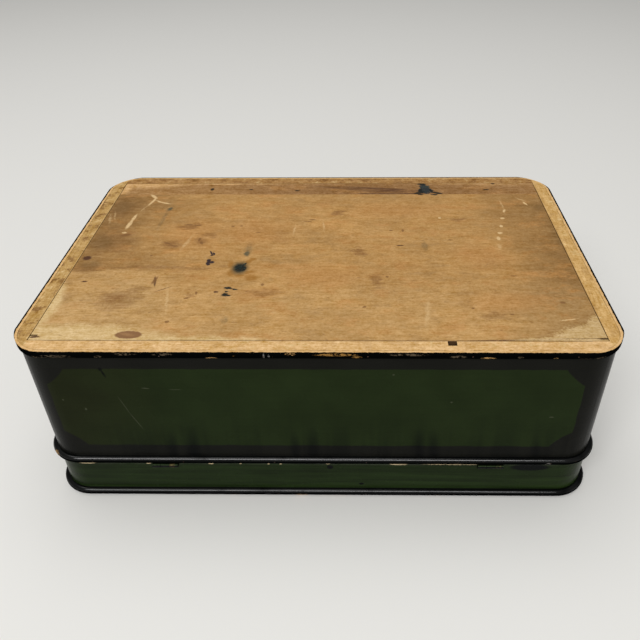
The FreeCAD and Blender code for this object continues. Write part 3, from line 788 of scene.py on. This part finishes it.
def worn_edge(f, out, wood, axis, stained, dirt):
    """The edges of the walls on the underside: bare, stained in patches, and grimy along the joints."""
    patches = f.noise(10.0, 6, shift=(0, 12, 0), rough=0.75)
    stain = f.both(f.ramp(patches, 0.5, 0.6), stained)
    tone = f.mix(stain, f.mix(f.both(f.ramp(patches, 0.46, 0.36), 0.6), wood, PALE_WOOD), BROWN_STAIN)
    bare, fibre = bare_wood(f, tone, axis, contrast=1.3)
    seam = f.both(f.ramp(out, 0.5 - WALL, 0.1 - WALL), f.ramp(f.z, BOARD_LOW, BOARD_LOW + 0.6), 0.8)
    bare = f.mix(seam, bare, dirt)
    # Dirt and painted shade: the notch in the edge is painted near black
    notch_dirt_and_shade = f.both(f.ramp(out, -3.0, -4.0), f.span(f.z, TOP - 4.0, TOP - 0.45, 0.2))
    return plain_inside(f, f.mix(notch_dirt_and_shade, bare, DEEP_DIRT_AND_SHADE), axis), fibre


# Paint, with the bare wood that it leaves open
def paint_coat(f, colour, streaks=0.12):
    """A varnished coat with brush marks, clouding and specks: its colour, relief and roughness."""
    cloud = f.noise(30.0, 4)
    brush = f.noise(1.2, 4, (30, 30, 1), rough=0.6)
    speck = f.both(f.ramp(f.noise(0.9, 2, shift=(40, 0, 0)), 0.75, 0.8), 0.3)
    colour = f.shade(colour, f.math("ADD", f.around(cloud, 0.5, 0.3), f.around(brush, 0.5, streaks)))
    return f.mix(speck, colour, PAINT_SCUFF), brush, f.around(cloud, 0.27, 0.1)


def painted_case_wall(name, along, wood, stained, dirt, marked):
    """A side of the case: a green panel with scooped corners in a black border."""
    f = Finish(f"{name}_paint", specular=0.03)
    out = f.out_from_wall()
    bare, fibre = worn_edge(f, out, wood, along, stained, dirt)
    coord, half_long = (f.x, HALF_W - PANEL_IN) if along == "x" else (f.y, HALF_D - PANEL_IN)
    if marked:
        coord = f.math("ADD", coord, BACK_PANEL_OFF)
    panel = f.panel(coord, half_long, f.z, PANEL_LOW, PANEL_HIGH)
    uneven_x = f.math("ADD", f.x, f.around(f.noise(40.0), 0.0, 40.0))
    varnish = f.ramp(uneven_x, *VARNISH_BROWNS)
    field = f.mix(f.both(varnish, 0.75), GREEN_PAINT, BROWN_VARNISH)
    paint, brush, gloss = paint_coat(f, f.mix(panel, BLACK_PAINT, field))
    # Paint runs together with painted reflection: dark vertical streaks, stronger towards the bottom, stand
    # in part for folds of the floor reflected in the gloss
    runs_and_reflections = f.ramp(f.noise(9.0, 3, (1, 1, 12)), 0.42, 0.66)
    paint = f.mix(f.both(runs_and_reflections, f.ramp(f.z, *RUNS_AND_REFLECTIONS_DARKEN), 0.28), paint, TAR_AND_SHADE)
    # Painted shade: the strip of wall under the rim bead is painted near black for the bead's shadow
    paint = f.mix(f.ramp(f.z, RIM_BEAD_LOW + 0.4, RIM_BEAD_LOW - 0.2), paint, TAR_AND_SHADE)
    if marked:
        flat = f.upright(2.0, 0.3)
        # Painted reflections of the floor's folds darken the lower back wall
        paint = f.mix(f.both(f.blots(flat, BACK_FOLD_REFLECTIONS, 1.8), 0.55), paint, TAR_AND_SHADE)
        paint = f.mix(f.both(f.blots(flat, BACK_DRIPS, 1.0), 0.8), paint, TAR_AND_SHADE)
        scuffs = f.most(f.strokes(flat, BACK_SCRATCHES), f.blots(flat, BACK_SPECKS))
        paint = f.mix(f.both(scuffs, 0.5), paint, PAINT_SCUFF)
    top = f.bare_face()
    rub = f.both(f.span(out, -0.5, -0.1, 0.1), top, f.ramp(f.noise(9.0, 3), 0.4, 0.6), 0.55)
    painted = f.both(f.ramp(out, *PAINT_SKIN), f.rest(top))
    colour = f.mix(painted, f.mix(rub, bare, DEEP_DIRT_AND_SHADE), paint)
    height = f.math("ADD", f.both(fibre, f.rest(painted)), f.both(brush, painted, 0.3))
    roughness = f.math("ADD", gloss, f.both(f.rest(painted), BARE_ROUGHER))
    return f.finish(colour, roughness, height, PAINTED_WALL_RELIEF)


def painted_lid_wall(name, axis, marked):
    """A side of the lid: green all over, streaked by the brush, worn to the wood along the rim, and painted
    lighter towards the bottom as painted reflection of the floor.
    """
    f = Finish(f"{name}_paint", specular=0.06)
    inside, fibre = inside_wood(f, axis)
    out = f.out_from_wall()
    rubbed_wood = f.shade(RUBBED_WOOD, f.around(fibre, 1.0, 0.6))
    bare = f.mix(f.ramp(out, -1.2, -0.6), inside, rubbed_wood)
    # Painted reflection: the green is made lighter towards the bottom of the lid, standing for the pale floor
    # reflected in the paint
    lighter = f.math("ADD", f.both(f.ramp(f.z, LID_RIM, 8.0), 0.3), f.both(f.ramp(f.z, 13.0, 6.0), 0.2))
    lighter = f.math("ADD", lighter, 0.8)
    layers = f.around(f.noise(4.0, 3, (22, 22, 1), (0, 0, 9)), 1.0, 0.9)
    paint, brush, gloss = paint_coat(f, f.shade(LID_GREEN, f.both(lighter, layers)), 0.5)
    painted = f.ramp(out, *PAINT_SKIN)
    wear = f.both(f.ramp(f.z, LID_RIM - 0.9, LID_RIM - 0.3), f.ramp(f.noise(11.0, 4), 0.58, 0.62))
    if marked:
        flat = f.upright(2.0, 0.5)
        rubbed = f.both(f.ramp(f.z, LID_RIM - 2.2, LID_RIM - 0.8), f.ramp(f.noise(16.0, 4), 0.35, 0.6), 0.16)
        paint = f.mix(rubbed, paint, PAINT_SCUFF)
        # Tar smears, and painted shadows under the hinge barrels
        paint = f.mix(f.both(f.blots(flat, LID_SMEARS_AND_HINGE_SHADOWS, 0.4), 0.95), paint, TAR_AND_SHADE)
        wear = f.blots(flat, LID_RIM_WEAR)
    painted = f.both(painted, f.rest(f.both(wear, 0.85)))
    colour = f.mix(painted, bare, paint)
    roughness = f.math("ADD", gloss, f.both(f.rest(painted), BARE_ROUGHER))
    return f.finish(colour, roughness, brush, LID_WALL_RELIEF)


def painted_lid_board():
    """The lid's face: a green panel in a black border outside, bare wood inside."""
    f = Finish("lid_top_board_paint", specular=0.1)
    bare, fibre = inside_wood(f, "x", (0, 70, 0))
    half_y = HALF_D - LID_PANEL_IN
    panel = f.panel(f.x, HALF_W - LID_PANEL_IN, f.y, -half_y, half_y)
    paint, brush, gloss = paint_coat(f, f.mix(panel, BLACK_PAINT, GREEN_PAINT))
    inside = f.ramp(f.z, LID_INSIDE - 0.5, LID_INSIDE - 0.2)
    height = f.math("ADD", f.both(fibre, inside), f.both(brush, f.rest(inside), 0.5))
    roughness = f.math("ADD", gloss, f.both(inside, BARE_ROUGHER))
    return f.finish(f.mix(inside, paint, bare), roughness, height, LID_BOARD_RELIEF)


def painted_bead(name, chips, shine, underside):
    """A black half-round bead, glossy above and chipped to the wood. The base bead has a bare planed flat."""
    f = Finish(f"{name}_paint", specular=0.0)
    low, high = (corner.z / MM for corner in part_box(name))
    upper = f.ramp(f.z, (low + high) / 2 + 0.7, (low + high) / 2 + 1.6)
    cloud = f.noise(24.0, 4)
    grain = f.noise(2.0, 5, (2.4, 2.4, 0.8), rough=0.7)
    colour = f.shade(BEAD_BLACK, f.around(cloud, 1.0, 0.5))
    wood = f.both(f.ramp(grain, 0.7, 0.74), 0.6)
    colour = f.mix(wood, colour, AMBER_WOOD)
    flake = f.noise(1.0, 4, (2, 2, 0.8), (0, 0, 20), rough=0.7)
    for at, half, shown in chips:
        chip = f.both(f.lump(at, half), f.ramp(flake, 0.46, 0.56))
        colour = f.mix(chip, colour, shown)
        wood = f.most(wood, chip)
    if underside:
        bare = bare_wood(f, BACK_EDGE_WOOD, "x", (0, 30, 0))[0]
        uneven = f.around(f.noise(2.8, 5, (1.6, 1.6, 1), rough=0.7), 0.0, 1.1)
        painted_from = BEAD_FLAT - PAINT_LAP
        lap = f.ramp(f.math("ADD", f.out_from_wall(), uneven), painted_from, painted_from - 0.3)
        flat = f.both(f.bare_face(), lap)
        colour = f.mix(flat, colour, bare)
        wood = f.most(wood, flat)
    if shine:
        worn = f.ramp(f.noise(9.0, 4, (3, 3, 1), rough=0.6), 0.2, 0.5)
        long_side = f.ramp(f.math("ABSOLUTE", f.y), HALF_D - 12.0, HALF_D)
        kept = f.math("ADD", f.both(long_side, 0.65), 0.35)
        f.feed(f.shader.inputs["Coat Weight"], f.both(upper, worn, f.rest(wood), kept, shine))
        f.feed(f.shader.inputs["Coat Roughness"], BEAD_GLOSS)
    roughness = f.math("ADD", f.around(cloud, 0.45, 0.1), f.both(wood, 0.3))
    return f.finish(colour, roughness, grain, BEAD_RELIEF)


# Metal
def rusted_iron():
    """Nails and brads, dark and pitted."""
    f = Finish("rusted_iron", metallic=0.6)
    pits = f.noise(0.7, 4, rough=0.7)
    colour = f.mix(f.ramp(pits, 0.4, 0.62), IRON, RUST)
    return f.finish(colour, f.around(pits, 0.65, 0.2), pits, IRON_RELIEF)


def painted_brass():
    """Hinges of dull brass, with the paint of the walls run over the upper part of their barrels, and the
    lower part painted black as painted shade under the rim bead.
    """
    f = Finish("painted_brass", metallic=0.8)
    tarnish = f.noise(2.2, 4, rough=0.6)
    brass = f.shade(BRASS, f.around(tarnish, 0.75, 0.5))
    outside = f.ramp(f.y, -HALF_D + 0.6, -HALF_D - 0.4)
    bright_end = f.most(*(f.span(f.x, *(mid + end for end in HINGE_BRIGHT_END), 0.8) for mid in HINGE_MIDS))
    worn = f.both(bright_end, f.ramp(tarnish, 0.4, 0.6), 0.35)
    # Painted shade: the barrels are black below and green above, the black standing for the shade under the
    # rim bead
    paint = f.mix(f.ramp(f.z, HINGE_AXIS + 0.7, HINGE_AXIS + 1.2), TAR_AND_SHADE, LID_GREEN)
    colour = f.mix(f.both(outside, f.rest(worn)), brass, paint)
    return f.finish(colour, f.around(tarnish, 0.45, 0.2), tarnish, DULL_METAL_RELIEF)


def dull_steel():
    """Hinge screws, scratched and dulled."""
    f = Finish("dull_steel", metallic=1.0)
    wear = f.noise(0.9, 4, rough=0.6)
    colour = f.mix(f.ramp(wear, 0.5, 0.7), STEEL, RUST)
    return f.finish(colour, f.around(wear, 0.45, 0.2), wear, DULL_METAL_RELIEF)


def dress(name, material):
    nodes[name].data.materials.clear()
    nodes[name].data.materials.append(material)


# The walls of the case: the way they run, the wood of their edges, its share of stain and the joints' dirt
CASE_WALLS = (
    ("case_back_wall", "x", BACK_EDGE_WOOD, 0.15, JOINT_BROWN),
    ("case_front_wall", "x", FRONT_EDGE_WOOD, 0.7, TIGHT_JOINT),
    ("case_left_end", "y", LEFT_EDGE_WOOD, 0.75, PALE_JOINT),
    ("case_right_end", "y", RIGHT_EDGE_WOOD, 0.25, TIGHT_JOINT),
)
LID_WALLS = (("lid_back_wall", "x"), ("lid_front_wall", "x"), ("lid_left_end", "y"), ("lid_right_end", "y"))
MARKED_WALLS = ("case_back_wall", "lid_back_wall")
BEADS = (
    ("lid_bead", LID_BEAD_CHIPS, 0.8),
    ("rim_bead", RIM_BEAD_CHIPS, 1.0),
    ("base_bead", BASE_BEAD_CHIPS, 0.0),
)
dress("bottom_board", wide_board())
dress("bottom_strip", narrow_strip())
for name, axis, wood, stained, dirt in CASE_WALLS:
    dress(name, painted_case_wall(name, axis, wood, stained, dirt, name in MARKED_WALLS))
for name, axis in LID_WALLS:
    dress(name, painted_lid_wall(name, axis, name in MARKED_WALLS))
dress("lid_top_board", painted_lid_board())
for name, chips, shine in BEADS:
    dress(name, painted_bead(name, chips, shine, name == "base_bead"))
metals = {"iron": rusted_iron(), "hinge_brass": painted_brass(), "screw_steel": dull_steel()}
for piece in frame["record"]["subparts"]:
    if piece["material_slot"] in metals:
        dress(piece["node"], metals[piece["material_slot"]])


# Floor, light and camera
FLOOR_SIZE = 12.0
FLOOR_COLOUR = (0.8, 0.79, 0.76)
OVERHEAD_AT = (-0.3, 0.25, 2.4)
OVERHEAD_SIZE = (2.2, 2.0)
OVERHEAD_POWER = 26.0
FRONT_AT = (-0.4, -2.2, 2.4)
FRONT_SIZE = (3.0, 0.8)
FRONT_POWER = 66.0
SKY_COLOUR = (1.0, 1.0, 0.98, 1)
SKY_LIGHT = 0.24

CAMERA_AT = (0.025678, -0.436813, 0.406509)
CAMERA_FORWARD = (-0.014597, 0.807324, -0.589928)
CAMERA_UP = (-0.000906, 0.589980, 0.807417)
SENSOR_WIDE = 36.0
IMAGE_SIZE = 640
FOCAL_PIXELS = 654.77
AXIS_PIXEL = (347.0, 302.48)


def floor():
    bpy.ops.mesh.primitive_plane_add(size=FLOOR_SIZE)
    plane = bpy.context.object
    plane.name = "floor"
    f = Finish("pale_floor", specular=0.1)
    plane.data.materials.append(f.finish(FLOOR_COLOUR, FLOOR_ROUGHNESS))


def soft_light(name, place, size, power):
    lamp = bpy.data.lights.new(name, "AREA")
    lamp.shape = "RECTANGLE"
    lamp.size, lamp.size_y = size
    lamp.energy = power
    holder = bpy.data.objects.new(name, lamp)
    holder.location = place
    holder.rotation_euler = (-Vector(place)).to_track_quat("-Z", "Y").to_euler()
    bpy.context.scene.collection.objects.link(holder)


def sky():
    world = bpy.data.worlds.new("soft_sky")
    world.use_nodes = True
    bpy.context.scene.world = world
    background = world.node_tree.nodes["Background"]
    background.inputs["Color"].default_value = SKY_COLOUR
    background.inputs["Strength"].default_value = SKY_LIGHT


def camera():
    lens = bpy.data.cameras.new("camera")
    lens.sensor_width = SENSOR_WIDE
    lens.lens = FOCAL_PIXELS / IMAGE_SIZE * lens.sensor_width
    lens.shift_x = (IMAGE_SIZE / 2 - AXIS_PIXEL[0]) / IMAGE_SIZE
    lens.shift_y = (AXIS_PIXEL[1] - IMAGE_SIZE / 2) / IMAGE_SIZE
    eye = bpy.data.objects.new("camera", lens)
    back = -Vector(CAMERA_FORWARD).normalized()
    right = Vector(CAMERA_UP).cross(back).normalized()
    up = back.cross(right)
    turn = Matrix((right, up, back)).transposed().to_4x4()
    eye.matrix_world = Matrix.Translation(CAMERA_AT) @ turn
    bpy.context.scene.collection.objects.link(eye)
    bpy.context.scene.camera = eye


floor()
soft_light("overhead_softbox", OVERHEAD_AT, OVERHEAD_SIZE, OVERHEAD_POWER)
soft_light("front_softbox", FRONT_AT, FRONT_SIZE, FRONT_POWER)
sky()
camera()
bpy.context.scene.view_settings.view_transform = "Standard"
